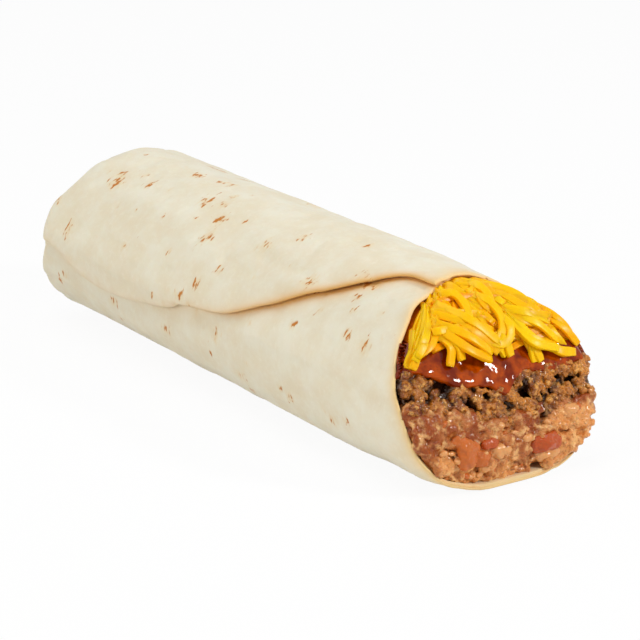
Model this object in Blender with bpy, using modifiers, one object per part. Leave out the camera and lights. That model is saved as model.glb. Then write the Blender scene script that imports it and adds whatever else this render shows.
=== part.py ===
"""A rolled flour tortilla, folded shut at one end and open at the other, filled with four layers
that run through it: beans, minced beef, sauce and shredded cheese. +X is along the roll towards
the open end, +Z is up, and the lapped edge of the tortilla is on the -Y side."""

import math

import bmesh
import bpy
from mathutils import Vector

MM = 0.001
NAME = "burrito"

# The roll
LENGTH = 170.2
WIDTH, WIDER = 58.0, 0.053
HEIGHT, TALLER = 46.9, 0.010
ROUND_TOP, ROUND_BOTTOM = 1.76, 2.74
FLAT_SPOT = 0.3
CENTRE_X = 2.36  # the open end leans out further than the folded one, so the middle is off by this
SHEET = 1.5
LAP = 1.85
INNER_EDGE = 75.0
# The folded end
TURN_IN = 8.5
END_HOLE = 0.70
END_PAD = 0.82
# The fillings
CLEAR = 0.7
FILL_BACK = -76.0
FILL_FRONT = 104.0
LAYER_GAP = 0.6

COLUMNS, ROWS = 58, 19
MIDDLE = HEIGHT / 2


def smooth(low, high, value):
    """0 below low, 1 above high, and an S curve between."""
    u = min(1.0, max(0.0, (value - low) / (high - low)))
    return u * u * (3 - 2 * u)


def power(value, n):
    return math.copysign(abs(value) ** (2 / n), value)


def rim_x(y, z):
    """The plane the open end is cut on: it leans back, and curves back at the top and bottom."""
    up = z - MIDDLE
    return LENGTH / 2 - 0.013 * y - 0.508 * up - 0.693 * (up / 10) ** 2


def far_x(y, z):
    return -LENGTH / 2 + 0.037 * y + 0.133 * (z - MIDDLE)


def skin(s, degrees):
    """A point on the roll's outside: s runs from -1, the lip of the folded end, through 0 to 1
    at the open rim, and degrees go round from +Y over the top."""
    a = math.radians(degrees)
    along = max(0.0, s)
    n = ROUND_TOP if math.sin(a) > 0 else ROUND_BOTTOM
    half_w = WIDTH / 2 * (1 + WIDER * (1 - along))
    half_h = MIDDLE * (1 + TALLER * (1 - along))
    y, z = half_w * power(math.cos(a), n), half_h * (1 + power(math.sin(a), n))
    start = far_x(y, z) + TURN_IN
    x = start + along * (rim_x(y, z) - start)
    if s < 0:
        turn = -s * math.pi / 2
        k = 1 - (1 - END_HOLE) * (1 - math.cos(turn))
        x, y, z = x - TURN_IN * math.sin(turn), y * k, half_h + (z - half_h) * k
    return Vector((x, y, z))


def inside(s, degrees, depth):
    """The point at that depth below the skin."""
    at = skin(s, degrees)
    if depth <= 0:
        return at
    step = 0.02
    lengthways = skin(min(1, s + step), degrees) - skin(max(-1, s - step), degrees)
    round_it = skin(s, degrees + 1.5) - skin(s, degrees - 1.5)
    return at + depth * lengthways.cross(round_it).normalized()


def lap_edge(s):
    """Where the outer edge lies, in degrees: low on the side, and over the top at the rim."""
    x = -LENGTH / 2 + max(0.0, s) * LENGTH
    drop = 207 - math.sqrt(207**2 - (x + 50) ** 2)
    return 188 - drop / 0.46 if x > -50 else 188 - drop / 0.30


def depth_of(turned):
    """How far below the skin the sheet runs once it has gone that many degrees round."""
    return LAP * smooth(-103, -175, turned)


def flatten(z):
    """A little of the bottom is pressed flat where it rests."""
    return max(z, FLAT_SPOT) - FLAT_SPOT


def new_object(name, mesh, colour, roughness, collection):
    me = bpy.data.meshes.new(name)
    mesh.to_mesh(me)
    mesh.free()
    thing = bpy.data.objects.new(name, me)
    collection.objects.link(thing)
    if colour:
        material = bpy.data.materials.new(name)
        material.use_nodes = True
        shader = material.node_tree.nodes["Principled BSDF"]
        shader.inputs["Base Color"].default_value = (*colour, 1)
        shader.inputs["Roughness"].default_value = roughness
        me.materials.append(material)
    else:
        thing.hide_render = True
        thing.display_type = "WIRE"
    return thing


def place(mesh, where):
    """Moves each vertex of a primitive to the place given for it, in millimetres."""
    for v in mesh.verts:
        x, y, z = where(v.co)
        v.co = ((x - CENTRE_X) * MM, y * MM, flatten(z) * MM)


def boolean(thing, cutter, operation):
    m = thing.modifiers.new(operation.lower(), "BOOLEAN")
    m.operation = operation
    m.solver = "EXACT"
    m.object = cutter


def rolled_sheet(collection):
    """The sheet starts at its lapped edge, goes over the top, round and under, and comes up
    again inside itself."""
    mesh = bmesh.new()
    bmesh.ops.create_grid(mesh, x_segments=ROWS, y_segments=COLUMNS, size=0.5)
    turn_rows = 4 / ROWS

    def where(co):
        u, v = co.x + 0.5, co.y + 0.5
        s = u / turn_rows - 1 if u < turn_rows else ((u - turn_rows) / (1 - turn_rows)) ** 0.85
        begin = lap_edge(s)
        turned = begin + (INNER_EDGE - 360 - begin) * v
        return inside(s, turned, depth_of(turned))

    place(mesh, where)
    sheet = new_object("tortilla", mesh, (0.84, 0.72, 0.52), 0.6, collection)
    thick = sheet.modifiers.new("thickness", "SOLIDIFY")
    thick.thickness = SHEET * MM
    thick.offset = -1
    return sheet


def tucked_end(collection):
    """The sheet's end is folded in, an upper fold over a lower one."""
    mesh = bmesh.new()
    bmesh.ops.create_uvsphere(mesh, u_segments=28, v_segments=14, radius=1)

    def where(co):
        across = END_PAD * math.hypot(co.x, co.y)
        edge = skin(0, math.degrees(math.atan2(co.y, co.x)))
        y, z = edge.y * across, MIDDLE + (edge.z - MIDDLE) * across
        crease = math.exp(-(((z - 0.52 * HEIGHT) / 3.2) ** 2))
        swell = 4.4 - 2.4 * crease if co.z > 0 else -3.4
        return far_x(y, z) + 2.0 - abs(co.z) ** 0.8 * swell, y, z

    place(mesh, where)
    bmesh.ops.recalc_face_normals(mesh, faces=mesh.faces)
    return new_object("tucked_end", mesh, None, 0, collection)


def wave(a, b, size):
    return size * math.sin(a / 6.1 + 1.3) * math.cos(b / 7.7)


def beans_top(x, y):
    return 16.2 - 0.055 * y - 1.5 * math.sin(y / 5.5) * smooth(2, -8, y) + wave(x, y, 0.5)


def beef_top(x, y):
    return 23.2 - 0.055 * y + 3.2 * smooth(-9, -20, y) + 1.0 * math.sin(y / 2.9) + wave(y, x, 0.5)


def sauce_top(x, y):
    left, right = math.exp(-(((y + 19) / 5) ** 2)), math.exp(-(((y - 14) / 5) ** 2))
    return 28.4 - 0.07 * y + 2.6 * left - 1.6 * right + wave(x, y + 9, 0.6)


def below(x, y):
    return -6.0


def above(x, y):
    return HEIGHT + 8


# Each filling's floor, ceiling, how far it stands out of the open end, how rough and how coarse
# its face is, and its colour and roughness
FILLINGS = {
    "beans": (below, beans_top, -0.9, 0.9, 3.1, (0.42, 0.17, 0.08), 0.4),
    "beef": (beans_top, beef_top, -0.8, 1.3, 2.3, (0.28, 0.11, 0.03), 0.5),
    "sauce": (beef_top, sauce_top, 0.2, 0.5, 4.1, (0.30, 0.04, 0.008), 0.12),
    "cheese": (sauce_top, above, 1.2, 1.4, 2.7, (0.88, 0.42, 0.02), 0.35),
}


def face(name, y, z):
    """How far along a filling's uneven face stands at the open end."""
    stands, rough, coarse = FILLINGS[name][2:5]
    lumps = rough * math.sin(y / coarse + 0.6 * math.cos(z / coarse)) * math.cos(z / coarse + 0.8)
    dome = 3.4 * (1 - (y / 31) ** 2) - 2.7 * smooth(13, 3, z)
    return rim_x(y, z) + stands + dome + lumps


def filling_space():
    """Everything inside the roll, before the layers divide it."""
    mesh = bmesh.new()
    bmesh.ops.create_uvsphere(mesh, u_segments=36, v_segments=14, radius=1)

    def where(co):
        x = (FILL_BACK + FILL_FRONT) / 2 - co.z * (FILL_FRONT - FILL_BACK) / 2
        turned = math.degrees(math.atan2(co.y, co.x))
        turned -= 360 if turned > INNER_EDGE else 0
        lapped = LAP * smooth(45, INNER_EDGE - 6, turned)
        s = min(1.0, max(0.03, (x + LENGTH / 2 - TURN_IN) / (LENGTH - TURN_IN)))
        at = inside(s, turned, SHEET + CLEAR + max(depth_of(turned), lapped))
        k = min(1.0, math.hypot(co.x, co.y) / 0.42) ** 0.4
        return x, at.y * k, MIDDLE + (at.z - MIDDLE) * k + FLAT_SPOT

    place(mesh, where)
    bmesh.ops.recalc_face_normals(mesh, faces=mesh.faces)
    return mesh


def layer_block(name, collection):
    """A block between two wavy layer boundaries, with the filling's uneven face at its front."""
    floor, ceiling = FILLINGS[name][:2]
    mesh = bmesh.new()
    bmesh.ops.create_cube(mesh, size=1)
    for axis, cuts in ((0, 7), (1, 13), (2, 4)):
        edges = [e for e in mesh.edges if abs((e.verts[0].co - e.verts[1].co)[axis]) > 1e-6]
        bmesh.ops.subdivide_edges(mesh, edges=edges, cuts=cuts, use_grid_fill=True)

    def where(co):
        u, y, w = (co.x + 0.5) ** 0.6, co.y * 68, co.z + 0.5
        low, high = floor(80, y), ceiling(80, y)
        x = -90 + (face(name, y, low + (high - low) * w) + 90) * u
        low, high = floor(x, y) + LAYER_GAP / 2, ceiling(x, y) - LAYER_GAP / 2
        return Vector((x - CENTRE_X, y, low + (high - low) * w)) * MM

    for v in mesh.verts:
        v.co = where(v.co)
    bmesh.ops.recalc_face_normals(mesh, faces=mesh.faces)
    return new_object(name + "_block", mesh, None, 0, collection)


def main():
    for thing in list(bpy.data.objects):
        bpy.data.objects.remove(thing)
    food = bpy.data.collections.new(NAME)
    cutters = bpy.data.collections.new("cutters")
    for collection in (food, cutters):
        bpy.context.scene.collection.children.link(collection)
    boolean(rolled_sheet(food), tucked_end(cutters), "UNION")
    for name, (*_, colour, roughness) in FILLINGS.items():
        layer = new_object(name, filling_space(), colour, roughness, food)
        boolean(layer, layer_block(name, cutters), "INTERSECT")
    print("made", [o.name for o in food.objects])


main()
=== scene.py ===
# %% [markdown]
# # A burrito with an open end
#
# A flour tortilla is rolled round beans, minced beef, sauce and shredded cheese, folded shut at
# one end and left open at the other. The CAD frame gives its size and its layers. Each step below
# makes one real-looking piece and puts it in the place of a CAD node.
#
# Lengths in the functions are millimetres and `MM` turns them into metres. +X runs along the roll
# towards the open end, the lapped edge of the tortilla is on the -Y side, and +Z is up.

import math
import random

import bmesh
import bpy
import numpy as np
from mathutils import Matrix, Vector, noise


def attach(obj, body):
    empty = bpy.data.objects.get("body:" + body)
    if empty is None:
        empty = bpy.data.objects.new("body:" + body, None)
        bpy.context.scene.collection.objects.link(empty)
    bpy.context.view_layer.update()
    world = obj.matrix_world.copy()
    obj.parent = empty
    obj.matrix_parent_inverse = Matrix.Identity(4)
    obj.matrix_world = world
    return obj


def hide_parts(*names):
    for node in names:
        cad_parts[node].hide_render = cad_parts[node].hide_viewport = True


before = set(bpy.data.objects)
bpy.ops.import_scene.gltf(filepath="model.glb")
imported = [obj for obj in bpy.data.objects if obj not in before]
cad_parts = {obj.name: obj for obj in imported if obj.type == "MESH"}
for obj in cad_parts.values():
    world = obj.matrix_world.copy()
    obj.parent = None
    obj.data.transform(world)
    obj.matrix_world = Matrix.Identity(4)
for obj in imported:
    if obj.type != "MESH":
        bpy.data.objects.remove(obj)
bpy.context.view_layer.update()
print("CAD nodes:", sorted(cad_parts))

# %% [markdown]
# ## The shape of the roll
#
# The real roll is a soft tube, flatter underneath and narrower towards the open end, whose rim
# leans back. It could be sculpted, but then nothing else would know where its surface is. So one
# function gives a point on the outside, and everything else in the scene is placed with it.
#
# `s` runs from -1 at the lip of the folded end, through 0 where the side begins, to 1 at the open
# rim. `turned` is the angle round the roll in degrees, from +Y over the top.

# %% Sizes
MM = 0.001
LENGTH, WIDTH, HEIGHT = 170.2, 58.0, 47.3
WIDER, TALLER = 0.053, 0.010
ROUND_TOP, ROUND_BOTTOM = 1.76, 2.74
SHEET, LAP = 1.4, 1.6
TURN_IN, END_HOLE = 8.5, 0.66
CENTRE_X = 2.36  # the open end leans out further, so the middle of LENGTH is off by this
MIDDLE = HEIGHT / 2
SHEET_LONG, SHEET_ROUND = 184, 215  # the sheet's size along the roll and round it
SIDE_LONG = 168  # from the tuck to the open rim
INNER_EDGE = -282  # where the sheet ends inside itself, in degrees
DEGREE = 0.46  # how far one degree reaches along the skin
print("roll", LENGTH, "x", WIDTH, "x", HEIGHT, "mm before the relief is added")


# %% Smooth steps and noise that work on arrays
def smooth(low, high, value):
    """0 at low, 1 at high, and an S curve between."""
    u = np.clip((np.asarray(value, float) - low) / (high - low), 0, 1)
    return u * u * (3 - 2 * u)


def bump(centre, width, value):
    """1 at centre, falling to 0 on both sides."""
    return np.exp(-(((np.asarray(value, float) - centre) / width) ** 2))


def rough(points, size, octaves, seed):
    """Noise of about -1 to 1 at each point, with features of the given size in millimetres."""
    at = np.asarray(points, float).reshape(-1, 3) / size + 17.3 * seed
    if octaves == 1:
        found = [noise.noise(p) for p in at]
    else:
        found = [noise.fractal(p, 1.0, 2.0, octaves) for p in at]
    return np.array(found)


# %% The outside of the roll
def power(value, n):
    return np.sign(value) * np.abs(value) ** (2 / n)


def rim_x(y, z):
    """The open end leans back, and curves back at its top and bottom."""
    up = z - MIDDLE
    return LENGTH / 2 - 0.013 * y - 0.508 * up - 0.693 * (up / 10) ** 2


def far_x(y, z):
    return -LENGTH / 2 + 0.037 * y + 0.133 * (z - MIDDLE)


def skin(s, turned):
    """Points on the outside, as an array of x, y, z."""
    s, a = np.broadcast_arrays(np.asarray(s, float), np.radians(turned))
    along = np.clip(s, 0, None)
    n = np.where(np.sin(a) > 0, ROUND_TOP, ROUND_BOTTOM)
    half_w = WIDTH / 2 * (1 + WIDER * (1 - along))
    half_h = MIDDLE * (1 + TALLER * (1 - along))
    y, z = half_w * power(np.cos(a), n), half_h * (1 + power(np.sin(a), n))
    start = far_x(y, z) + TURN_IN
    x = start + along * (rim_x(y, z) - start)
    turn = np.clip(-s, 0, 1) * math.pi / 2
    k = 1 - (1 - END_HOLE) * (1 - np.cos(turn))
    return np.stack([x - TURN_IN * np.sin(turn), y * k, half_h + (z - half_h) * k], -1)


def inward(s, turned):
    """Unit vectors from the skin towards the middle of the roll."""
    ahead, behind = skin(np.minimum(s + 0.02, 1), turned), skin(np.maximum(s - 0.02, -1), turned)
    along, across = ahead - behind, skin(s, turned + 1.5) - skin(s, turned - 1.5)
    out = np.cross(along, across)
    return out / np.linalg.norm(out, axis=-1, keepdims=True)


# %% [markdown]
# ## Materials
#
# Food is never one flat colour: each surface mixes two or three tones through noise. Such a node
# tree could be built one node at a time, but it soon gets hard to read. Here `Value` wraps one
# shader socket so that ordinary arithmetic adds Math nodes, and `Paint` wraps one material and
# adds any other node, so a finish reads like a short sum.


# %% A shader value that can be calculated with
class Value:
    def __init__(self, tree, socket):
        self.tree, self.socket = tree, socket

    def math(self, operation, *inputs):
        node = self.tree.nodes.new("ShaderNodeMath")
        node.operation = operation
        for slot, value in zip(node.inputs, inputs):
            connect(self.tree, slot, value)
        return Value(self.tree, node.outputs[0])

    def __add__(self, other):
        return self.math("ADD", self, other)

    def __sub__(self, other):
        return self.math("SUBTRACT", self, other)

    def __rsub__(self, other):
        return self.math("SUBTRACT", other, self)

    def __mul__(self, other):
        return self.math("MULTIPLY", self, other)

    def __truediv__(self, other):
        return self.math("DIVIDE", self, other)

    __radd__ = __add__
    __rmul__ = __mul__

    def clamp(self):
        return self.math("MINIMUM", self.math("MAXIMUM", self, 0.0), 1.0)

    def step(self, low, high):
        """0 below low and 1 above high, with an S curve between."""
        u = ((self - low) / (high - low)).clamp()
        return u * u * (3.0 - 2.0 * u)


def connect(tree, slot, value):
    if isinstance(value, Value):
        tree.links.new(value.socket, slot)
    else:
        slot.default_value = value


# %% A material
def linear(r, g, b):
    """A colour as shader values, from the 0 to 255 values it should show."""
    parts = [c / 255 for c in (r, g, b)]
    return tuple(c / 12.92 if c <= 0.04045 else ((c + 0.055) / 1.055) ** 2.4 for c in parts) + (1,)


class Paint:
    """A Principled material. Its sockets are set by name, with underscores for the spaces."""

    def __init__(self, name, **sockets):
        self.material = bpy.data.materials.new(name)
        self.material.use_nodes = True
        self.tree = self.material.node_tree
        self.shader = self.tree.nodes["Principled BSDF"]
        self.set(**sockets)

    def set(self, **sockets):
        for name, value in sockets.items():
            connect(self.tree, self.shader.inputs[name.replace("_", " ")], value)

    def node(self, kind, output=0, sockets=None, **settings):
        """Any shader node: its settings as keywords, its sockets in a dictionary."""
        node = self.tree.nodes.new("ShaderNode" + kind)
        for name, value in settings.items():
            setattr(node, name, value)
        for name, value in (sockets or {}).items():
            connect(self.tree, node.inputs[name], value)
        return Value(self.tree, node.outputs[output])

    def place(self):
        return self.node("TexCoord", "Object")

    def attribute(self, name):
        return self.node("Attribute", "Fac", attribute_name=name)

    def noise(self, size, detail=2.0, where=None, roughness=0.5):
        """Noise from about 0.25 to 0.75, with features of the given size in millimetres."""
        sockets = {"Vector": where or self.place(), "Scale": 1 / (size * MM)}
        return self.node("TexNoise", "Fac", sockets | {"Detail": detail, "Roughness": roughness})

    def blend(self, factor, first, second):
        sockets = {0: factor, 6: first, 7: second}
        return self.node("Mix", 2, sockets, data_type="RGBA", clamp_factor=True)

    def relief(self, height, depth, strength):
        """Bump from a height of 0 to 1, standing for that depth in millimetres."""
        sockets = {"Height": height, "Distance": depth * MM, "Strength": strength}
        self.set(Normal=self.node("Bump", 0, sockets))


# %% [markdown]
# ## Making pieces
#
# A lumpy or rolled piece could be drawn face by face, which is slow to write and easy to get
# wrong. Here each one starts as a primitive made by a bmesh operator, with clean faces and closed
# poles, and then all its vertices are moved at once to where the formulas put them.


# %% Finish a piece
def add_object(name, mesh_or_bmesh, paint):
    me = mesh_or_bmesh
    if isinstance(me, bmesh.types.BMesh):
        me = bpy.data.meshes.new(name)
        mesh_or_bmesh.to_mesh(me)
        mesh_or_bmesh.free()
    thing = bpy.data.objects.new(name, me)
    bpy.context.scene.collection.objects.link(thing)
    me.materials.clear()
    me.materials.append(paint.material)
    me.polygons.foreach_set("use_smooth", [True] * len(me.polygons))
    return thing


def stands_for(thing, node):
    """The finished piece takes the place of a CAD node."""
    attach(thing, "root")
    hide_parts(node)
    print(f"{thing.name}: {len(thing.data.polygons)} faces, for {node}")
    return thing


# %% Read and move all the vertices of a mesh
def points_of(me):
    found = np.empty(len(me.vertices) * 3)
    me.vertices.foreach_get("co", found)
    return found.reshape(-1, 3)


def move_points(me, points_mm):
    """Takes millimetres measured from the middle of LENGTH, and stores metres in the row frame."""
    at = (np.asarray(points_mm, float) - [CENTRE_X, 0, 0]) * MM
    me.vertices.foreach_set("co", at.ravel())
    me.update()


def store(me, name, values):
    me.attributes.new(name, "FLOAT", "POINT").data.foreach_set("value", np.asarray(values, float))


# %% [markdown]
# ## The tortilla
#
# The real tortilla is one thin sheet wound a little more than once round, so that its edge laps
# over itself. Two closed tubes would not show that lap. So one long grid is rolled up: it starts
# at the lapped edge on the -Y side, goes over the top, down the back, underneath, and up the front
# again inside itself. Solidify then gives it its thickness, less of it along the edges.


# %% The lapped edge
def lap_edge(s):
    """Where the outer edge lies, in degrees: low on the side, and over the top at the rim."""
    x = -LENGTH / 2 + np.clip(s, 0, 1) * LENGTH
    drop = 207 - np.sqrt(207**2 - np.clip(x + 50, -100, 150) ** 2)
    wavy = 0.9 * np.sin(x / 5.1) * bump(0, 30, x) + 0.7 * np.sin(x / 9.3 + 1)
    climb = 187 - np.where(x > -50, drop / DEGREE, drop / 0.30) + 7 * smooth(0.72, 0.97, s) + wavy
    return 107 + 3 * np.logaddexp(0, (climb - 107) / 3)


def edge_rows(count, length):
    """Row positions from 0 to 1, close together within a millimetre of both edges."""
    ends = np.array([0, 0.1, 0.3, 0.6, 1.0])
    inner = np.linspace(1.6, length - 1.6, count - 2 * len(ends))
    return np.concatenate([ends, inner, length - ends[::-1]]) / length


# %% The relief of the sheet
def sheet_relief(at, turned):
    """How far the sheet stands in or out: soft swells, shallow dents and a few long creases."""
    x = at[:, 0]
    soft = at * [0.6, 1, 1]
    swell = 0.55 * rough(soft, 26, 2, seed=1) + 0.20 * rough(soft, 7, 2, seed=2)
    crease = 0.35 * bump(0, 0.16, rough(at * [0.25, 1, 1], 11, 1, seed=3))
    dents = 0.25 * smooth(0.25, 0.6, rough(at, 5, 1, seed=4))
    firm = smooth(0, 22, np.minimum(np.abs(turned + 90), np.abs(turned - 270)))
    return (swell - crease - dents) * (0.15 + 0.85 * firm)


def far_pleats(s, turned):
    """Folds gathered where the far end is tucked in."""
    gather = smooth(0.06, -0.6, s)
    a = np.radians(turned)
    return gather * (0.35 * np.sin(a * 7 + 0.6) + 0.25 * np.sin(a * 13))


# %% Toasted spots
# How many, between which angles round the roll, the smallest and largest size, and the weakest
SPOT_BANDS = (
    (85, -120, 80, 1.2, 4.0, 0.6),
    (22, 190, 250, 1.2, 3.0, 0.6),
    (30, 90, 185, 1.2, 1.5, 0.6),
    (32, 90, 190, 1.6, 3.4, 0.9),
)


def toast_of(at, turned):
    """How toasted each vertex is, from spots scattered in bands round the roll."""
    pick = random.Random(5)
    spots = []
    for count, low, high, smallest, largest, weakest in SPOT_BANDS:
        spots += [(pick.uniform(-84, 84), pick.uniform(low, high), pick.uniform(smallest, largest),
                   pick.uniform(weakest, 1)) for _ in range(count)]
    print("toasted spots:", len(spots))
    round_it = np.where(turned < -125, turned + 360, turned)
    total = np.zeros(len(at))
    for x, degrees, size, strength in spots:
        away = ((at[:, 0] - x) / size) ** 2 + ((round_it - degrees) * 0.47 / size) ** 2
        total = np.maximum(total, strength * np.exp(-away * 0.9))
    return total


# %% [markdown]
# ## The finish of the tortilla
#
# A flour tortilla is pale and matt and browned in small spots where it touched the griddle. Along
# its lapped edge and under it a golden shadow is painted, and on the open rim a warm light is painted
# that lifts the shade on the lip. The spots could be noise alone, but then their size and number
# could not be set. So each vertex stores how toasted it is, from spots scattered with a fixed
# seed, how near the lapped edge it is, for the painted shadow, and how near the open rim it is, for
# the painted light. Noise only breaks up the outlines.

# %% Tortilla material
tortilla_paint = Paint("tortilla", Roughness=0.62, Specular_IOR_Level=0.35,
                       Subsurface_Weight=0.12, Subsurface_Scale=0.0016)
tortilla_paint.set(Subsurface_Radius=(1.0, 0.6, 0.3))


def paint_tortilla(paint):
    cloud, fine = paint.noise(10, 4.0, roughness=0.65), paint.noise(1.3, 3.0)
    sockets = {0: paint.place(), 1: (1.5, 0.75, 0.6)}
    stretched = paint.node("VectorMath", 0, sockets, operation="MULTIPLY")
    dash = paint.noise(1.7, 2.0, stretched, 0.5)
    base = paint.blend(cloud.step(0.3, 0.7), linear(228, 216, 190), linear(233, 227, 208))
    base = paint.blend((fine.step(0.5, 0.8)) * 0.35, base, linear(240, 234, 216))
    # Painted golden shadow along the lapped edge and on the layer under it.
    base = paint.blend(paint.attribute("edge") * 0.95, base, linear(224, 168, 84))
    # Painted warm light on the open rim, lifting the shade on the lip.
    base = paint.blend(paint.attribute("rim") * 0.8, base, linear(240, 198, 122))
    toast = paint.attribute("toast")
    halo = (toast + (dash - 0.5) * 1.4).step(0.35, 1.1) * 0.45
    base = paint.blend(halo, base, linear(226, 188, 116))
    spot = (toast * 0.68 + (dash - 0.5) * 2.0).step(0.54, 0.8)
    base = paint.blend(spot, base, linear(190, 116, 34))
    paint.set(Base_Color=base)
    paint.relief(fine * 0.5 + cloud * 1.2 + dash * 0.3, 0.35, 0.5)


paint_tortilla(tortilla_paint)


# %% Roll the sheet
def roll_sheet(rows=190, columns=236):
    mesh = bmesh.new()
    bmesh.ops.create_grid(mesh, x_segments=rows, y_segments=columns, size=0.5)
    thing = add_object("tortilla_wrap", mesh, tortilla_paint)
    me = thing.data
    u, v = (points_of(me)[:, :2] + 0.5).T
    u = np.interp(u, np.linspace(0, 1, rows + 1), edge_rows(rows + 1, SHEET_LONG))
    v = np.interp(v, np.linspace(0, 1, columns + 1), edge_rows(columns + 1, SHEET_ROUND))
    tucked = 0.09
    s = np.where(u < tucked, u / tucked - 1, (u - tucked) / (1 - tucked))
    begin = lap_edge(s)
    turned = begin + (INNER_EDGE - begin) * v
    edge = np.minimum(np.minimum(v, 1 - v) * SHEET_ROUND, (1 - s) * SIDE_LONG)
    thin = np.sqrt(1 - (1 - np.clip(edge, 0, 1)) ** 2)
    at, inner = skin(s, turned), inward(s, turned)
    under_flap = smooth(begin - 4, begin - 14, turned + 360) * smooth(0.8, 1, s)
    at[:, 0] -= 2 * under_flap + 3.6 * bump(6, 34, turned) * smooth(0.75, 1, s)
    at[:, 0] -= 1.3 * bump(-180, 40, turned) * smooth(0.75, 1, s)
    by_flap = 2.4 * smooth(begin - 22, begin, turned) - 0.9 * smooth(90, 150, turned)
    at[:, 0] += by_flap * smooth(0.2, 0, s)
    at[:, 0] -= 3.4 * bump(-160, 42, turned) * smooth(0.3, 0, s)
    covered = smooth(begin + 20, begin + 3, turned + 360)
    depth = LAP * (0.25 + 0.75 * covered) * smooth(-103, -165, turned) + (1 - thin) * SHEET / 2
    depth -= 0.25 * smooth(60, 130, turned) * smooth(1, 0.8, s)
    depth -= sheet_relief(at, turned) * smooth(-1, 0, s) + far_pleats(s, turned)
    flare = 0.5 * smooth(0.93, 1, s) * bump(-150, 60, turned)
    depth += 1.3 * bump(58, 34, turned) * smooth(0.75, 1, s)
    low_corner = 1.7 * smooth(0.45, 0.05, s) - 1.4 * smooth(0.5, 0.8, s) * smooth(1, 0.95, s)
    depth += low_corner * bump(-142, 38, turned)
    at = at + inner * (depth - flare)[:, None]
    at[:, 2] = np.maximum(at[:, 2], 0.3) - 0.3
    move_points(me, at)
    store(me, "toast", toast_of(at, turned))
    # Painted warm light near the open rim, wider near the top and at the lower corner on the -Y side.
    rim_glow_width = 1.5 + 2.2 * bump(70, 45, turned) + 2.0 * bump(-125, 35, turned)
    store(me, "rim", np.exp(-(1 - s) * SIDE_LONG / rim_glow_width))
    # How far from the lapped edge, for the painted golden shadow: narrow on the flap and beside it,
    # reaching further on the layer hidden under the flap, and weaker towards the far end.
    lap_shade_distance = np.where(turned < -125, turned + 360 - begin, begin - turned) * DEGREE
    lap_shade_distance = np.where(lap_shade_distance < 0, lap_shade_distance / 6, lap_shade_distance / 1.3)
    store(me, "edge", np.exp(-np.abs(lap_shade_distance)) * (0.25 + 0.75 * smooth(0.3, 0.75, s)))
    group = thing.vertex_groups.new(name="thick")
    for weight in np.unique(np.round(thin, 2)):
        rows_there = np.flatnonzero(np.round(thin, 2) == weight).tolist()
        group.add(rows_there, max(0.12, float(weight)), "REPLACE")
    solid = thing.modifiers.new("thickness", "SOLIDIFY")
    solid.thickness, solid.offset = SHEET * MM, -1
    solid.vertex_group = "thick"
    return thing


wrap = stands_for(roll_sheet(), "tortilla")

# %% [markdown]
# ## The folded end
#
# The sheet's sides are tucked in at the far end and lie over each other. Folding a mesh that way
# by simulation would be slow and hard to steer. So each fold is a flattened ball that fills the
# hole the roll leaves, and the upper one lies over the lower one.


# %% Folds of the far end
def far_fold(name, low, high, stands, seed):
    """One rounded fold across the far end, between two heights given as shares of HEIGHT."""
    mesh = bmesh.new()
    bmesh.ops.create_uvsphere(mesh, u_segments=72, v_segments=36, radius=1)
    thing = add_object(name, mesh, tortilla_paint)
    co = points_of(thing.data)
    across = np.hypot(co[:, 0], co[:, 1])
    turned = np.degrees(np.arctan2(co[:, 1], co[:, 0]))
    edge = skin(0, turned)
    y, z = edge[:, 1] * 0.80 * across, MIDDLE + (edge[:, 2] - MIDDLE) * 0.80 * across
    lip = low * HEIGHT + 2.2 * bump(0, 16, y) - 1.1
    z = np.where(z < lip, lip + (z - lip) * 0.04, z)
    z = np.minimum(z, high * HEIGHT + 0.04 * (z - high * HEIGHT))
    out = np.abs(co[:, 2]) ** 0.6
    soft = 0.8 * rough(np.stack([y * 0, y, z], -1), 9, 2, seed)
    x = far_x(y, z) + 2.2 - np.where(co[:, 2] > 0, out * (stands + soft), -out * 2.6)
    at = np.stack([x, y, z], -1)
    move_points(thing.data, at)
    thing.data.flip_normals()  # the ball was mirrored onto its side, which turned it inside out
    store(thing.data, "toast", 0.5 * smooth(0.3, 0.7, rough(at, 5, 1, seed)))
    return stands_for(thing, "tortilla")


far_fold("tortilla_lower_fold", -0.2, 0.66, 4.4, 11)
far_fold("tortilla_upper_fold", 0.53, 1.2, 4.4, 12)

# %% [markdown]
# ## The open end
#
# Cut or rolled food shows its layers at the open end. They could be four separate shapes, but then
# gaps and overlaps would need mending one by one. So the fillings share one uneven front: `front_x`
# says where it stands, and the layer heights say where one filling gives way to the next.
#
# A plain core carries each layer through the roll. Nobody sees its inside, so it is a simple block
# trimmed by a Boolean, and the real-looking crumbs and strands are laid in front of it.


# %% The face of the fillings
def how_far_out(y, z):
    """0 in the middle of the open end and 1 at the inside of the tortilla."""
    side = np.where(y < 0, WIDTH / 2 - 2.0, WIDTH / 2 - 1.5)
    n = np.where(z > MIDDLE, ROUND_TOP, ROUND_BOTTOM)
    tall = np.where(z > MIDDLE, MIDDLE - 1.7, MIDDLE - 1.5)
    return ((np.abs(y) / side) ** n + (np.abs(z - MIDDLE) / tall) ** n) ** (1 / n)


def front_x(y, z):
    y, z = np.asarray(y, float), np.asarray(z, float)
    r3 = np.clip(how_far_out(y, z), 0, 1.2) ** 3
    bulge = 2.6 * (1 - r3) + r3 * (1.8 * smooth(5, 25, y) - 0.2 * smooth(-8, -26, y))
    return rim_x(y, z) + bulge - (2.2 - 1.6 * smooth(-5, 20, y)) * smooth(9, 1.5, z)


def beans_top(y):
    """Heaped up on the left."""
    return 15.5 + 5.5 * bump(-21, 10, y) + bump(18, 5, y)


def beef_top(y):
    """Highest on the left, with a dip in the middle where the sauce runs down."""
    return 24 + 5 * bump(-24, 9, y) - 3 * bump(0, 3, y) + bump(8, 3, y)


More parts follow.
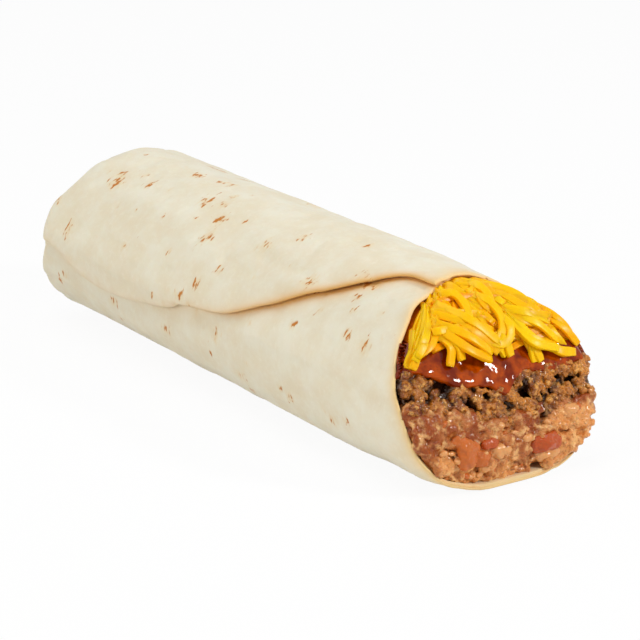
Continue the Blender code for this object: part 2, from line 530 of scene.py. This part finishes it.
def sauce_top(y):
    return 32 - 0.13 * y - 1.5 * bump(-28, 5, y)


HEIGHTS = {
    "beans": (lambda y: y * 0 - 6, beans_top),
    "beef": (beans_top, beef_top),
    "sauce": (beef_top, sauce_top),
    "cheese": (sauce_top, lambda y: y * 0 + HEIGHT + 8),
}


# %% A plain core for each layer, through the whole roll
def filling_space():
    """The space inside the rolled sheet."""
    mesh = bmesh.new()
    bmesh.ops.create_uvsphere(mesh, u_segments=72, v_segments=24, radius=1)
    me = bpy.data.meshes.new("space")
    mesh.to_mesh(me)
    mesh.free()
    co = points_of(me)
    x = 14 - co[:, 2] * 90
    turned = np.degrees(np.arctan2(co[:, 1], co[:, 0]))
    turned = np.where(turned > 70, turned - 360, turned)
    s = np.clip((x + LENGTH / 2 - TURN_IN) / (LENGTH - TURN_IN), 0.03, 1)
    lap = LAP * np.maximum(smooth(-103, -175, turned), smooth(45, 68, turned))
    at = skin(s, turned) + inward(s, turned) * (SHEET + 0.5 + lap)[:, None]
    k = np.minimum(1, np.hypot(co[:, 0], co[:, 1]) / 0.42) ** 0.4
    move_points(me, np.stack([x, at[:, 1] * k, MIDDLE + (at[:, 2] - MIDDLE) * k], -1))
    return me


def layer_core(name, set_back, paint):
    """A block between two layer heights, trimmed to the space inside the roll."""
    mesh = bmesh.new()
    bmesh.ops.create_cube(mesh, size=1)
    for axis, cuts in ((0, 6), (1, 59), (2, 13)):
        edges = [e for e in mesh.edges if abs((e.verts[0].co - e.verts[1].co)[axis]) > 1e-6]
        bmesh.ops.subdivide_edges(mesh, edges=edges, cuts=cuts, use_grid_fill=True)
    bmesh.ops.recalc_face_normals(mesh, faces=mesh.faces)
    block = add_object(name + "_block", mesh, paint)
    u, y, w = (points_of(block.data) * [1, 66, 1] + [0.5, 0, 0.5]).T
    floor, ceiling = (h(y) for h in HEIGHTS[name])
    z = floor + 0.15 + (ceiling - floor - 0.3) * w
    flat = np.stack([y * 0, y, z], -1)
    x = -90 + (front_x(y, z) - set_back + 0.8 * rough(flat, 3, 2, seed=21) + 90) * u**0.6
    move_points(block.data, np.stack([x, y, z], -1))
    core = bpy.data.objects.new(name + "_space", filling_space())
    bpy.context.scene.collection.objects.link(core)
    trim = core.modifiers.new("trim", "BOOLEAN")
    trim.operation, trim.solver, trim.object = "INTERSECT", "EXACT", block
    made = bake(core, name + "_core", paint)
    for spare in (block, core):
        bpy.data.objects.remove(spare)
    return stands_for(made, name)


def bake(thing, name, paint):
    """The finished mesh of a piece with modifiers, as a new piece."""
    bpy.context.view_layer.update()
    graph = bpy.context.evaluated_depsgraph_get()
    me = bpy.data.meshes.new_from_object(thing.evaluated_get(graph))
    me.name = name
    return add_object(name, me, paint)


# %% [markdown]
# ## Fused heaps
#
# Mash and mince are small soft things stuck together. Hundreds of loose balls would show every
# join. So the balls are fused into one skin by a voxel Remesh, and the skin is then roughened with
# noise along its normals. Big level balls make mashed beans, and small tumbled ones make mince.


# %% Fuse balls into one lumpy skin
def fuse(name, balls, voxel, paint, smoothing, roughen, seed, tumbled=False):
    """balls holds x, y, z and three radii in millimetres. roughen holds (feature size, depth).
    Tumbled balls are each turned at random."""
    mesh = bmesh.new()
    bmesh.ops.create_icosphere(mesh, subdivisions=2, radius=1)
    ball = bpy.data.meshes.new("ball")
    mesh.to_mesh(ball)
    mesh.clear()
    unit = points_of(ball)
    spin = random.Random(seed)
    places = []
    for x, y, z, *radii in balls:
        mesh.from_mesh(ball)
        shape = unit * radii
        if tumbled:
            a, b = spin.uniform(0, 6.28), spin.uniform(0, 6.28)
            turn = np.array([[math.cos(a), -math.sin(a), 0], [math.sin(a), math.cos(a), 0], [0, 0, 1]])
            tip = np.array([[1, 0, 0], [0, math.cos(b), -math.sin(b)], [0, math.sin(b), math.cos(b)]])
            shape = shape @ turn @ tip
        places.append(shape + [x, y, z])
    heap = add_object(name + "_balls", mesh, paint)
    move_points(heap.data, np.concatenate(places))
    skin_over = heap.modifiers.new("fuse", "REMESH")
    skin_over.mode, skin_over.voxel_size = "VOXEL", voxel * MM
    if smoothing:
        soften = heap.modifiers.new("soften", "SMOOTH")
        soften.iterations, soften.factor = smoothing, 0.5
    made = bake(heap, name, paint)
    bpy.data.objects.remove(heap)
    at = points_of(made.data) / MM + [CENTRE_X, 0, 0]
    normals = np.empty(len(made.data.vertices) * 3)
    made.data.vertex_normals.foreach_get("vector", normals)
    for i, (size, depth) in enumerate(roughen):
        at = at + normals.reshape(-1, 3) * (depth * rough(at, size, 2, seed + i))[:, None]
    move_points(made.data, at)
    # How far each point lies behind the face, for painted shade that deepens into recesses.
    store(made.data, "shade_depth", front_x(at[:, 1], at[:, 2]) + 0.6 - at[:, 0])
    return made


def held_in(y, z, most):
    """The place, pulled in to stay inside the tortilla."""
    shrink = min(1.0, most / max(0.01, float(how_far_out(y, z))))
    return y * shrink, MIDDLE + (z - MIDDLE) * shrink


def on_front(y, z, out, most=1.0):
    y, z = held_in(y, z, most)
    return float(front_x(y, z)) + out, float(y), float(z)


def scatter(pick, count, floor, ceiling, edge=0.97):
    """Random places on the open face between two layer heights."""
    while count:
        y, z = pick.uniform(-28, 28), pick.uniform(1, 45)
        if floor(y) < z < ceiling(y) and how_far_out(y, z) < edge:
            count -= 1
            yield y, z


# %% [markdown]
# ## Beans
#
# Refried beans are a wet, lumpy mash with some beans left whole. One noisy surface would look like
# plaster, so the mash is a fused heap of large, small and edge lumps, and whole and broken beans
# are pieces of their own in three colours. A thin clear coat makes them look wet.

# %% Beans
beans_paint = Paint("beans", Specular_IOR_Level=0.12, Subsurface_Weight=0.1, Subsurface_Scale=0.0015,
                    Coat_Weight=0.3, Coat_Roughness=0.07)


def paint_beans(paint):
    patch, fine, grain = paint.noise(7, 3.0), paint.noise(2.2, 3.0), paint.noise(0.8, 2.0)
    # Random pale patches, and the stored pale amount, which holds painted light on the right and a painted
    # shadow above the red bean.
    pale = patch.step(0.36, 0.62) * 0.75 + paint.attribute("pale") * 0.45
    base = paint.blend(pale, linear(152, 70, 18), linear(222, 148, 80))
    # Painted highlight on the high points of the fine bump.
    base = paint.blend(fine.step(0.44, 0.72) * 0.9, base, linear(244, 190, 124))
    # Painted shade in the small dips of the bump.
    base = paint.blend((0.5 - grain).step(0.04, 0.2) * 0.5, base, linear(136, 58, 20))
    # Painted shade, darker the further behind the face.
    base = paint.blend(paint.attribute("shade_depth").step(0.5, 2.6) * 0.7, base, linear(96, 40, 18))
    paint.set(Base_Color=base, Roughness=0.14 + grain * 0.3)
    paint.relief(grain + fine * 0.5, 0.5, 0.8)


paint_beans(beans_paint)


def mashed_beans():
    pick = random.Random(31)
    balls = []

    def heap(count, small, large, low, high):
        for y, z in scatter(pick, count, lambda y: 0.8, lambda y: float(beans_top(y)) + 0.6, 0.99):
            r = pick.uniform(small, large)
            most = 1 - r / 38 + (0.03 if y > -4 and z < 15 else 0)
            balls.append((*on_front(y, z, pick.uniform(low, high) - r * 0.75, most),
                          r * pick.uniform(0.65, 1), r * pick.uniform(0.9, 1.4), r * pick.uniform(0.6, 1)))

    heap(190, 2.0, 3.6, -1.3, 0.6)
    heap(90, 1.0, 1.9, -0.2, 0.9)
    for _ in range(110):
        a, r = math.radians(pick.uniform(175, 345)), pick.uniform(0.7, 1.3)
        z = min(MIDDLE + 30 * math.sin(a), float(beans_top(30 * math.cos(a))))
        balls.append((*on_front(30 * math.cos(a), z, pick.uniform(-1.2, 0.3), 0.985), r, r * 1.3, r))
    made = fuse("beans_mash", balls, 0.3, beans_paint, 6, ((4.2, 0.9), (2.0, 0.55), (0.9, 0.22)), 33)
    y, z = (points_of(made.data) / MM)[:, 1:].T
    # Paler towards the bottom, lighter on the right as painted light, darker towards the top, and a painted
    # shadow just above the red bean.
    pale = smooth(14, 5, z) * 0.6 + 1.3 * smooth(4, 20, y) * smooth(18, 12, z) - 0.7 * smooth(11, 18, z)
    pale += 0.5 * bump(-18, 6, y) * smooth(12, 6, z) - 1.6 * bump(6.5, 3.4, y) * bump(12.5, 2.8, z)
    store(made.data, "pale", pale)
    return made


layer_core("beans", 2.2, beans_paint)
stands_for(mashed_beans(), "beans")

# %% Whole and broken beans on the face. A shown bean is y, z and three radii
bean_red = Paint("bean_red", Base_Color=linear(182, 78, 24), Roughness=0.2, Specular_IOR_Level=0.15,
                 Coat_Weight=0.35, Coat_Roughness=0.06, Subsurface_Weight=0.15, Subsurface_Scale=0.0015)
bean_tan = Paint("bean_tan", Base_Color=linear(196, 104, 44), Roughness=0.3, Specular_IOR_Level=0.15,
                 Coat_Weight=0.2, Coat_Roughness=0.12, Subsurface_Weight=0.1, Subsurface_Scale=0.0015)
bean_pale = Paint("bean_pale", Base_Color=linear(220, 152, 84), Roughness=0.3, Coat_Weight=0.2,
                  Coat_Roughness=0.12, Subsurface_Weight=0.1, Subsurface_Scale=0.0015)
RED_BEAN = (10, 8, (2.6, 4.9, 2.7))
TAN_BEAN = (-14, 10, (2.0, 2.9, 4.2))


def whole_beans(paint, name, whole, broken, seed, *shown):
    """The shown beans, then some scattered whole ones, broken bits, and bits along the bottom."""
    pick = random.Random(seed)
    balls = [(*on_front(y, z, 1.2 - radii[0] * 0.6, 0.92), *radii) for y, z, radii in shown]
    for y, z in scatter(pick, whole, lambda y: 4.0, lambda y: float(beans_top(y)) - 1.5, 0.92):
        r = pick.uniform(1.5, 2.2)
        balls.append((*on_front(y, z, 0.6 - r * 0.6, 0.92), r * 0.9, r * pick.uniform(1.2, 1.8), r))
    for y, z in scatter(pick, broken, lambda y: 1.5, lambda y: float(beans_top(y))):
        r = pick.uniform(0.6, 1.4)
        wide = r * pick.uniform(1, 1.5)
        balls.append((*on_front(y, z, pick.uniform(0.2, 0.9) - r * 0.6), r * 0.8, wide, r * 0.8))
    for _ in range(broken):
        y, r = pick.uniform(-23, 20), pick.uniform(0.4, 1.0)
        place = on_front(y, -9, pick.uniform(-0.6, 0.8) - r * 0.5, pick.uniform(0.89, 0.96))
        balls.append((*place, r, r * 1.3, r * 0.9))
    return fuse(name, balls, 0.28, paint, 4, ((3.0, 0.5), (1.2, 0.22)), 41)


stands_for(whole_beans(bean_red, "beans_red", 1, 0, 41, RED_BEAN), "beans")
stands_for(whole_beans(bean_tan, "beans_tan", 3, 8, 42, TAN_BEAN), "beans")
stands_for(whole_beans(bean_pale, "beans_pale", 5, 16, 43), "beans")

# %% [markdown]
# ## Beef
#
# Minced beef is crumbs gathered in clumps, with dark gaps between them. Even noise would miss the
# gaps. So each clump is a ball set all over with crumbs, clumps near a hollow are pushed back, and
# a core behind them, painted in a dark colour as shade, shows through as the shade in the gaps.

# %% Beef
beef_paint = Paint("beef", Specular_IOR_Level=0.2, Coat_Weight=0.5, Coat_Roughness=0.07)


def paint_beef(paint):
    patch, fine, grain = paint.noise(5, 2.0), paint.noise(1.6, 3.0), paint.noise(0.5, 2.0)
    # Random pale patches, and the stored pale amount, which holds painted light on the right.
    pale = patch.step(0.4, 0.6) + paint.attribute("pale")
    base = paint.blend(pale, linear(140, 70, 8), linear(214, 134, 42))
    # Painted highlight on the high points of the fine bump.
    base = paint.blend(fine.step(0.5, 0.66) * 0.8, base, linear(238, 174, 86))
    # Painted shade in the small crevices of the bump.
    base = paint.blend((0.48 - grain).step(0.0, 0.16) * 0.6, base, linear(88, 44, 14))
    # Painted shade, nearly black-brown in the deepest gaps.
    base = paint.blend(paint.attribute("shade_depth").step(0.3, 2.0) * 0.9, base, linear(44, 18, 6))
    paint.set(Base_Color=base, Roughness=0.12 + fine * 0.35)
    paint.relief(grain + fine * 0.6, 0.6, 0.9)


paint_beef(beef_paint)
# The beef core's colour is painted shade: dark, for the gaps between the clumps.
beef_core_shade = Paint("beef_core_shade", Base_Color=linear(66, 30, 10), Roughness=0.8, Specular_IOR_Level=0.2)
HOLLOWS = []
for gap in range(8):
    across = -21 + 5.5 * gap
    HOLLOWS.append((across, float(beans_top(across)) + (2.5, 5.0)[gap % 2], 1.1 + 0.3 * (gap % 3)))


def in_hollow(y, z):
    return any(math.hypot(y - cy, z - cz) < r for cy, cz, r in HOLLOWS)


def minced_beef():
    """Clumps with dark gaps between them, each one a ball set all over with crumbs."""
    pick = random.Random(51)
    balls = []
    floor, ceiling = (lambda y: float(beans_top(y)) - 0.4), (lambda y: float(beef_top(y)) + 0.3)
    for y, z in scatter(pick, 190, floor, ceiling, 1.0):
        size = pick.uniform(1.0, 2.4)
        out = pick.uniform(-2.2, 0.8) - (3.4 if in_hollow(y, z) else 0)
        x, y, z = on_front(y, z, out - size, 1 - size / 40)
        balls.append((x, y, z, size * 0.8, size * 0.95, size * 0.75))
        for _ in range(int(5 + 5 * size**1.5)):
            r = pick.uniform(0.35, 0.85)
            way = np.array([abs(pick.gauss(0.3, 0.8)), pick.gauss(0, 1), pick.gauss(0, 0.85)])
            bx, by, bz = np.array([x, y, z]) + way / np.linalg.norm(way) * size * pick.uniform(0.85, 1.15)
            if how_far_out(by, bz) < 1.0 and not (in_hollow(by, bz) and out > -2.4):
                balls.append((bx, by, bz, r, r * pick.uniform(0.8, 1.4), r))
    roughen = ((1.6, 0.4), (0.7, 0.3), (0.35, 0.1))
    made = fuse("beef_crumbs", balls, 0.25, beef_paint, 0, roughen, 53, tumbled=True)
    y = points_of(made.data)[:, 1] / MM
    # Lighter on the right as painted light, darker towards the left.
    store(made.data, "pale", 0.6 * smooth(10, 22, y) - 0.5 * smooth(-12, -22, y))
    return made


layer_core("beef", 3.4, beef_core_shade)
stands_for(minced_beef(), "beef")

# %% [markdown]
# ## Sauce
#
# The sauce is a thick glossy layer that runs down over the beef and stops in rounded drips. A fluid
# simulation could pour it, but its edge has to follow the beef. So a grid is laid on the face
# between the two layer heights, with a bead along its lower edge and slow waves that catch light.

# %% Sauce
sauce_paint = Paint("sauce", Roughness=0.05, IOR=1.36, Specular_IOR_Level=0.3, Subsurface_Weight=0.15,
                    Subsurface_Scale=0.0012)


def paint_sauce(paint):
    patch, fine = paint.noise(4, 3.0), paint.noise(1.2, 2.0)
    base = paint.blend(patch.step(0.35, 0.65), linear(118, 32, 0), linear(182, 74, 0))
    base = paint.blend(fine.step(0.62, 0.72) * 0.4, base, linear(104, 26, 2))
    paint.set(Base_Color=base)
    paint.relief(patch + fine * 0.2, 0.5, 0.12)


paint_sauce(sauce_paint)


def pour_sauce():
    """A thick sheet that hangs down the face, with a rounded, dripping lower edge."""
    mesh = bmesh.new()
    bmesh.ops.create_grid(mesh, x_segments=200, y_segments=64, size=0.5)
    thing = add_object("sauce_pour", mesh, sauce_paint)
    u, v = (points_of(thing.data)[:, :2] + 0.5).T
    y = -28.5 + 57.5 * u
    flat = np.stack([y * 0, y, y * 0], -1)
    low = beef_top(y) - 0.4 + 0.5 * rough(flat, 2.6, 2, 61)
    high = sauce_top(y) + 0.5 + 2.5 * smooth(20, 12, np.abs(y))
    drop = (high - low) * (v**1.4)
    z = low + drop
    place = np.stack([y * 0, y, z], -1)
    bead = np.sqrt(1 - (1 - np.clip(drop / 1.9, 0, 1)) ** 2)
    h = -1.7 + 3.0 * bead - 0.6 * smooth(2, 6, drop)
    h += 0.7 * rough(place, 5.2, 1, 62) + 0.16 * rough(place, 2.4, 1, 63)
    r = how_far_out(y, z)
    k = np.minimum(1, 0.985 / r)
    y, z = y * k, MIDDLE + (z - MIDDLE) * k
    x = front_x(y, z) + h - 2.5 * smooth(0.93, 1.02, r)
    move_points(thing.data, np.stack([x, y, z], -1))
    solid = thing.modifiers.new("thickness", "SOLIDIFY")
    solid.thickness, solid.offset = 1.2 * MM, -1
    return thing


layer_core("sauce", 2.5, sauce_paint)
stands_for(pour_sauce(), "sauce")

# %% [markdown]
# ## Shredded cheese
#
# Grated cheese is long bars with flat sides, crossing, curling and drooping. Curves with a bevel
# would be round. So one straight rounded bar is bent along each strand's path, which is a few
# places as y, z and how far out of the face. The paths come from rules with a fixed seed: fans and
# curls lie on top, others fill the heap behind them, and a row comes out from under the flap.

# %% Cheese material
cheese_paint = Paint("cheese", Roughness=0.3, Specular_IOR_Level=0.15, Subsurface_Weight=0.25,
                     Subsurface_Scale=0.002, Subsurface_Radius=(1.0, 0.5, 0.1))


def paint_cheese(paint):
    tone, fine = paint.attribute("tone"), paint.noise(2.5, 3.0)
    base = paint.blend((tone + (fine - 0.5) * 0.4).clamp(), linear(250, 150, 0), linear(255, 202, 6))
    paint.set(Base_Color=base)
    paint.relief(fine + paint.noise(0.7, 2.0) * 0.4, 0.2, 0.25)


paint_cheese(cheese_paint)

# %% Fans of strands on top of the heap
# How many, the y and z they start and end at, how far they spread, and how far they stand out
FANS = (
    (6, (-13, 43), (-24, 35), 3, 3),
    (4, (-21, 39), (-27, 32), 2, 2),
    (2, (-15, 37), (-12, 30), 2, 4),
    (5, (-13, 41), (1, 35), 4, 5),
    (3, (-15, 38), (-3, 31), 2, 5),
    (3, (1, 44), (5, 39), 3, 4),
    (5, (6, 41), (18, 33), 3, 4),
    (3, (7, 38), (16, 29), 2, 5),
    (4, (16, 36), (24, 29), 3, 3),
    (2, (15, 32), (12, 26), 2, 4),
    (2, (-2, 33), (4, 29), 1, 4),
)


def fanned_strands():
    """Strands that start close together and cross each other, each one bowed its own way."""
    pick = random.Random(70)
    made = []
    for count, start, end, spread, out in FANS:
        start, end = np.array(start, float), np.array(end, float)
        sideways = np.array([start[1] - end[1], end[0] - start[0]]) / np.linalg.norm(end - start)
        for _ in range(count):
            first = start + sideways * pick.uniform(-1, 1) * spread
            last = end + sideways * pick.uniform(-1, 1) * spread * 1.2 + [pick.uniform(-2, 2), 0]
            middle = (first + last) / 2 + sideways * pick.uniform(-2.5, 2.5)
            lift = pick.uniform(-1.2, 1.2)
            path = [(*first, out - 2.0), (*middle, out + 0.5 + lift), (*last, out - 0.3 + lift)]
            made.append((pick.uniform(1.9, 2.6), pick.uniform(0.5, 1.0), path))
    return made


# %% Curls
# The centre's y and z, the radius, the angles it runs between, the straight tail and how far out
CURLS = (
    (-7, 41, 3.5, 110, -90, 9, 4.5),
    (0, 38, 4.5, 90, -70, 4, 5.0),
    (2, 36, 3.5, 50, -110, 3, 5.5),
    (-19, 37, 4.5, 60, 170, 4, 4.5),
)


def curled_strands():
    """Strands that run round part of a circle and end in a straight tail."""
    made = []
    for y, z, radius, begin, finish, tail, out in CURLS:
        angles = np.radians(np.linspace(begin, finish, 5))
        path = [(y + radius * math.cos(a), z + radius * math.sin(a), out) for a in angles]
        onward = math.copysign(tail, finish - begin)
        last_y, last_z, _ = path[-1]
        tail_y, tail_z = -onward * math.sin(angles[-1]), onward * math.cos(angles[-1])
        path.append((last_y + tail_y, last_z + tail_z, out - 0.5))
        path[0] = (*path[0][:2], out - 2.5)
        made.append((2.3, 0.8, path))
    return made


# %% Bend a bar along a path
def curve_through(places, count):
    """A smooth path through the places, by Catmull-Rom."""
    held = [(*held_in(y, z, 0.95 + 0.03 * float(smooth(40, 30, z))), out - 2.2 * float(smooth(37, 44, z)))
            for y, z, out in places]
    p = np.array([(rim_x(y, z) + out, y, z) for y, z, out in held])
    if len(p) == 2:
        p = np.stack([p[0], p.mean(0) + [0.5, 0, 0.25], p[1]])
    p = np.vstack([2 * p[0] - p[1], p, 2 * p[-1] - p[-2]])
    t = np.linspace(0, len(p) - 3 - 1e-6, count)
    i, f = t.astype(int), (t % 1)[:, None]
    a, b, c, d = p[i], p[i + 1], p[i + 2], p[i + 3]
    return b + 0.5 * f * (c - a + f * (2 * a - 5 * b + 4 * c - d + f * (3 * (b - c) + d - a)))


def rounded_bar(segments):
    """A bar from x = 0 to 1, one unit thick, with rounded edges."""
    mesh = bmesh.new()
    bmesh.ops.create_cube(mesh, size=1)
    bmesh.ops.translate(mesh, verts=mesh.verts, vec=(0.5, 0, 0))
    long_edges = [e for e in mesh.edges if abs((e.verts[0].co - e.verts[1].co).x) > 0.5]
    bmesh.ops.bevel(mesh, geom=long_edges, offset=0.10, segments=2, profile=0.5, affect="EDGES",
                     material=-1)
    long_edges = [e for e in mesh.edges if abs((e.verts[0].co - e.verts[1].co).x) > 0.5]
    bmesh.ops.subdivide_edges(mesh, edges=long_edges, cuts=segments - 1)
    me = bpy.data.meshes.new("bar")
    mesh.to_mesh(me)
    mesh.free()
    return me


def bend(bar, path, width, thick, twist, slant):
    """The bar's points, carried along the path."""
    along = np.gradient(path, axis=0)
    along /= np.linalg.norm(along, axis=1, keepdims=True)
    out = np.array([0.85, 0.0, 0.5])
    side = np.cross(out, along)
    side /= np.linalg.norm(side, axis=1, keepdims=True)
    up = np.cross(along, side)
    share, last = bar[:, 0], len(path) - 1
    at = np.clip(share * last + slant * bar[:, 1] * (1 - 2 * np.abs(share - 0.5)), 0, last)
    i, f = np.minimum(at.astype(int), last - 1), (at % 1)[:, None]
    f = np.where(at[:, None] >= last, 1.0, f)

    def pick(rows):
        return rows[i] * (1 - f) + rows[i + 1] * f

    angle = twist * (share - 0.5)
    taper = 1 - 0.12 * bump(0, 0.06, share) - 0.12 * bump(1, 0.06, share)
    taper = taper + 0.05 * np.sin(share * 13 + slant * 3)
    b, c = bar[:, 1] * width * taper, bar[:, 2] * thick * taper
    b, c = b * np.cos(angle) - c * np.sin(angle), b * np.sin(angle) + c * np.cos(angle)
    return pick(path) + pick(side) * b[:, None] + pick(up) * c[:, None]


# %% Strands that fill the heap
def filler_strands(count):
    """Strands lying across the heap, leaning down to the left on the left and right on the right."""
    pick = random.Random(71)
    made = []
    for y, z in scatter(pick, count, lambda y: float(sauce_top(y)) + 1.0, lambda y: 46.0, 0.98):
        length = pick.uniform(9, 20)
        lean = -0.62 if y > -8 else 0.62
        heading = math.atan(lean) + pick.gauss(0, 0.45)
        turn, out = pick.uniform(-0.5, 0.5), pick.uniform(-2.4, 3.4)
        path = []
        for k in (-0.5, -0.15, 0.2, 0.5):
            a = heading + turn * k * 2
            py, pz = y + math.cos(a) * length * k, z + math.sin(a) * length * k
            path.append((py, max(pz, float(sauce_top(py)) - 0.8), out + pick.uniform(-0.6, 0.6)))
        if max(how_far_out(py, pz) for py, pz, _ in path) < 1.02:
            made.append((pick.uniform(1.9, 2.5), pick.uniform(0.0, 0.9), path))
    return made


def emerging_strands(count):
    """Strands that come out from under the flap and droop down the face."""
    pick = random.Random(72)
    made = []
    for i in range(count):
        y = -15 + 38 * (i + pick.uniform(0, 0.6)) / count
        down, across = pick.uniform(3, 8), pick.uniform(2, 8) * (1 if y > -9 else -1)
        high, out = pick.uniform(0.9, 0.97), pick.uniform(0.8, 3.6)
        path = [(*held_in(y - across * 0.3, 60, high - 0.1), -4), (*held_in(y, 60, high - 0.01), 0.6)]
        y1, z1 = path[1][:2]
        path += [(*held_in(y1 + across * 0.4, z1 - down * 0.4, 0.9), out * 0.8),
                 (*held_in(y1 + across, z1 - down, 0.94), out + 0.5)]
        made.append((pick.uniform(1.9, 2.5), pick.uniform(0.3, 1.0), path))
    return made


def shred_cheese():
    segments, slimmer = 18, 0.86
    bar = rounded_bar(segments)
    unit = points_of(bar)
    pick = random.Random(73)
    mesh = bmesh.new()
    places, tones = [], []
    on_top = fanned_strands() + curled_strands()
    for width, tone, path in on_top + filler_strands(230) + emerging_strands(50):
        mesh.from_mesh(bar)
        line = curve_through(path, segments + 1)
        width *= slimmer
        places.append(bend(unit, line, width, width * pick.uniform(0.5, 0.75), pick.uniform(-1.1, 1.1),
                           pick.uniform(-1.2, 1.2)))
        tones.append(np.full(len(unit), tone))
    print("strands of cheese:", len(tones))
    thing = add_object("cheese_shreds", mesh, cheese_paint)
    move_points(thing.data, np.concatenate(places))
    store(thing.data, "tone", np.concatenate(tones))
    return thing


cheese_shade = Paint("cheese_shade", Base_Color=linear(232, 132, 0), Roughness=0.6, Specular_IOR_Level=0.05)
layer_core("cheese", 2.0, cheese_shade)
stands_for(shred_cheese(), "cheese")

# %% [markdown]
# ## Studio
#
# Food is shown on white, and a shadow under it keeps it from floating. Bright lamps could make the
# floor white, but they would bleach the tortilla. So the floor and the world are white only to the
# camera and in reflections, and soft lamps light the food at a plain level. A long lens, a little
# above the open end and to one side, keeps the roll's sides nearly parallel.


# %% Floor
def lay_floor():
    mesh = bmesh.new()
    bmesh.ops.create_grid(mesh, x_segments=1, y_segments=1, size=4)
    paint = Paint("floor", Base_Color=(0.9, 0.9, 0.9, 1), Roughness=0.9)
    white = paint.node("Emission", 0, {"Color": (1, 1, 1, 1), "Strength": 1.0})
    seen = sum(paint.node("LightPath", f"Is {ray} Ray") for ray in ("Camera", "Glossy", "Transmission"))
    lit = Value(paint.tree, paint.shader.outputs[0])
    mixed = paint.node("MixShader", 0, {0: seen.clamp() * 0.93, 1: lit, 2: white})
    paint.tree.links.new(mixed.socket, paint.tree.nodes["Material Output"].inputs["Surface"])
    floor = add_object("floor", mesh, paint)
    floor.location.z = -0.0004


lay_floor()


# %% World
def white_world(strength):
    """White to look at and in reflections, and that strength of light on everything."""
    world = bpy.data.worlds.new("studio")
    bpy.context.scene.world = world
    world.use_nodes = True
    tree = world.node_tree
    path = tree.nodes.new("ShaderNodeLightPath")
    seen = Value(tree, path.outputs["Is Camera Ray"]) + Value(tree, path.outputs["Is Transmission Ray"])
    shiny = Value(tree, path.outputs["Is Glossy Ray"])
    level = (seen + shiny).clamp() * (1 - strength) + strength
    connect(tree, tree.nodes["Background"].inputs["Color"], (1, 1, 1, 1))
    connect(tree, tree.nodes["Background"].inputs["Strength"], level)


white_world(0.22)


# %% Lamps
def softbox(name, where, aim, size, power_w, colour=(1, 1, 1)):
    lamp = bpy.data.lights.new(name, "AREA")
    lamp.shape, lamp.size, lamp.size_y, lamp.energy = "RECTANGLE", size[0], size[1], power_w
    lamp.color = colour
    holder = bpy.data.objects.new(name, lamp)
    bpy.context.scene.collection.objects.link(holder)
    holder.location = where
    holder.rotation_euler = (Vector(aim) - Vector(where)).to_track_quat("-Z", "Y").to_euler()


softbox("overhead", (-0.1, -0.15, 0.9), (0, 0, 0.02), (0.9, 0.7), 4.35, (0.96, 0.99, 1.0))
softbox("front", (0.72, 0.46, 0.5), (0.08, 0, 0.02), (0.14, 0.14), 4.8)
softbox("side", (0.1, -0.9, 0.45), (0, 0, 0.02), (0.5, 0.4), 3.0, (1.0, 0.95, 0.84))


# %% Camera
def set_camera():
    camera = bpy.data.cameras.new("camera")
    camera.lens, camera.sensor_width = 170, 36
    camera.clip_start = 0.01
    camera.shift_x, camera.shift_y = 0.0404, -0.0474
    holder = bpy.data.objects.new("camera", camera)
    bpy.context.scene.collection.objects.link(holder)
    holder.location = (0.6223, -0.4279, 0.2560)
    aim = Vector((-CENTRE_X * MM, 0, 0.025))
    holder.rotation_euler = (aim - holder.location).to_track_quat("-Z", "Y").to_euler()
    bpy.context.scene.camera = holder
    bpy.context.scene.view_settings.view_transform = "Standard"


set_camera()
